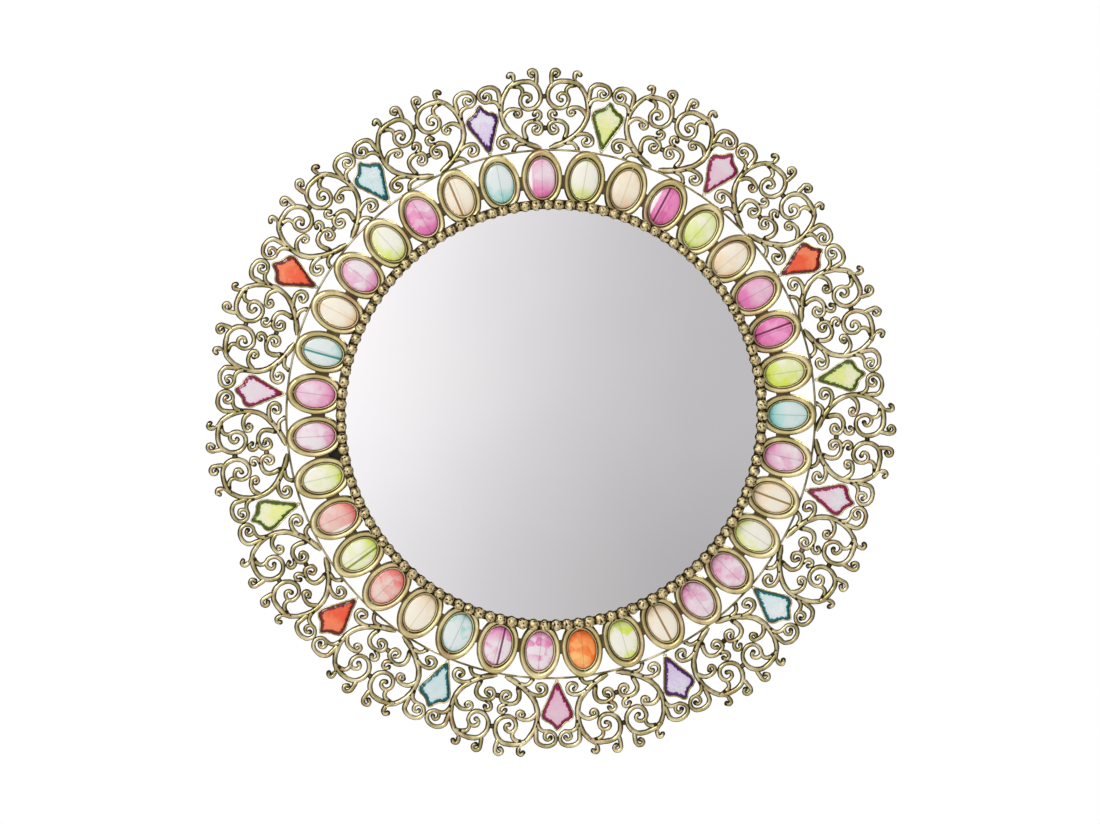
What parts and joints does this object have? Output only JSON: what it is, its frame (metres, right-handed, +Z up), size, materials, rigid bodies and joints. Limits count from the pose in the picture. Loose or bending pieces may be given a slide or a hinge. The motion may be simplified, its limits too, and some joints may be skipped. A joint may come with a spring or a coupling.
{
  "type": "framed wall mirror",
  "caption": "Round wall mirror framed by a beaded rim, oval settings with coloured glass stones on pins, cast scrollwork panels and kite-shaped stones, with hinged hanging loops behind.",
  "frame": {"origin": "on the wall plane behind the centre of the mirror, where the bumpers' faces lie", "axes": "+Z up as hung, +X to the viewer's right, +Y into the wall, so the mirror faces -Y"},
  "size_m": [0.7964, 0.0314, 0.7934],
  "materials": {
    "mirror_silver": "silvered float glass",
    "tray_brass": "antique, satin",
    "bead_brass": "antique, lightly hammered",
    "oval_brass": "antique, dark in the recesses",
    "wire_brass": "antique, satin",
    "scroll_brass": "antique cast, dark in the recesses",
    "solder": "dark, matt",
    "black_steel": "matt black",
    "bumper_rubber": "matt",
    "plated_steel": "zinc plated",
    "screw_steel": "zinc plated",
    "backing_board": "hardboard, plain",
    "oval_glass_aqua": "clouded",
    "oval_glass_cream": "clouded",
    "oval_glass_lime": "clouded",
    "oval_glass_magenta": "clouded",
    "oval_glass_orange": "clouded",
    "oval_glass_pink": "clouded",
    "oval_glass_salmon": "clouded",
    "kite_glass_lime": "clear, deep at the edges",
    "kite_glass_orange": "clear, deep at the edges",
    "kite_glass_pink": "clear, deep at the edges",
    "kite_glass_teal": "clear, deep at the edges",
    "kite_glass_violet": "clear, deep at the edges"
  },
  "bodies": {
    "frame": {"back_board": "backing_board", "board_clips": "plated_steel", "bumper_tabs": "black_steel", "clip_screws": "screw_steel", "hanger_screws": "screw_steel", "hanger_strap_left": "plated_steel", "hanger_strap_right": "plated_steel", "kite_setting_01": "wire_brass", "kite_setting_02": "wire_brass", "kite_setting_03": "wire_brass", "kite_setting_04": "wire_brass", "kite_setting_05": "wire_brass", "kite_setting_06": "wire_brass", "kite_setting_07": "wire_brass", "kite_setting_08": "wire_brass", "kite_setting_09": "wire_brass", "kite_setting_10": "wire_brass", "kite_setting_11": "wire_brass", "kite_setting_12": "wire_brass", "kite_setting_13": "wire_brass", "kite_setting_14": "wire_brass", "kite_setting_15": "wire_brass", "kite_stones_lime": "kite_glass_lime", "kite_stones_orange": "kite_glass_orange", "kite_stones_pink": "kite_glass_pink", "kite_stones_teal": "kite_glass_teal", "kite_stones_violet": "kite_glass_violet", "mirror_glass": "mirror_silver", "mirror_tray": "tray_brass", "oval_settings": "oval_brass", "oval_stones_aqua": "oval_glass_aqua", "oval_stones_cream": "oval_glass_cream", "oval_stones_lime": "oval_glass_lime", "oval_stones_magenta": "oval_glass_magenta", "oval_stones_orange": "oval_glass_orange", "oval_stones_pink": "oval_glass_pink", "oval_stones_salmon": "oval_glass_salmon", "rim_beads": "bead_brass", "ring_wire": "wire_brass", "scroll_panel_01": "scroll_brass", "scroll_panel_02": "scroll_brass", "scroll_panel_03": "scroll_brass", "scroll_panel_04": "scroll_brass", "scroll_panel_05": "scroll_brass", "scroll_panel_06": "scroll_brass", "scroll_panel_07": "scroll_brass", "scroll_panel_08": "scroll_brass", "scroll_panel_09": "scroll_brass", "scroll_panel_10": "scroll_brass", "scroll_panel_11": "scroll_brass", "scroll_panel_12": "scroll_brass", "scroll_panel_13": "scroll_brass", "scroll_panel_14": "scroll_brass", "scroll_panel_15": "scroll_brass", "setting_solder": "solder", "stone_pins": "wire_brass", "wall_bumpers": "bumper_rubber"},
    "loop_left": {"hanger_loop_left": "plated_steel"},
    "loop_right": {"hanger_loop_right": "plated_steel"}
  },
  "joints": [
    {"name": "loop_left_swing", "type": "hinge", "parent": "frame", "child": "loop_left", "pos_m": [-0.14, -0.0059, 0.11], "axis": [-1, 0, 0], "range_deg": [0, 170]},
    {"name": "loop_right_swing", "type": "hinge", "parent": "frame", "child": "loop_right", "pos_m": [0.14, -0.0059, 0.11], "axis": [-1, 0, 0], "range_deg": [0, 170]}
  ]
}
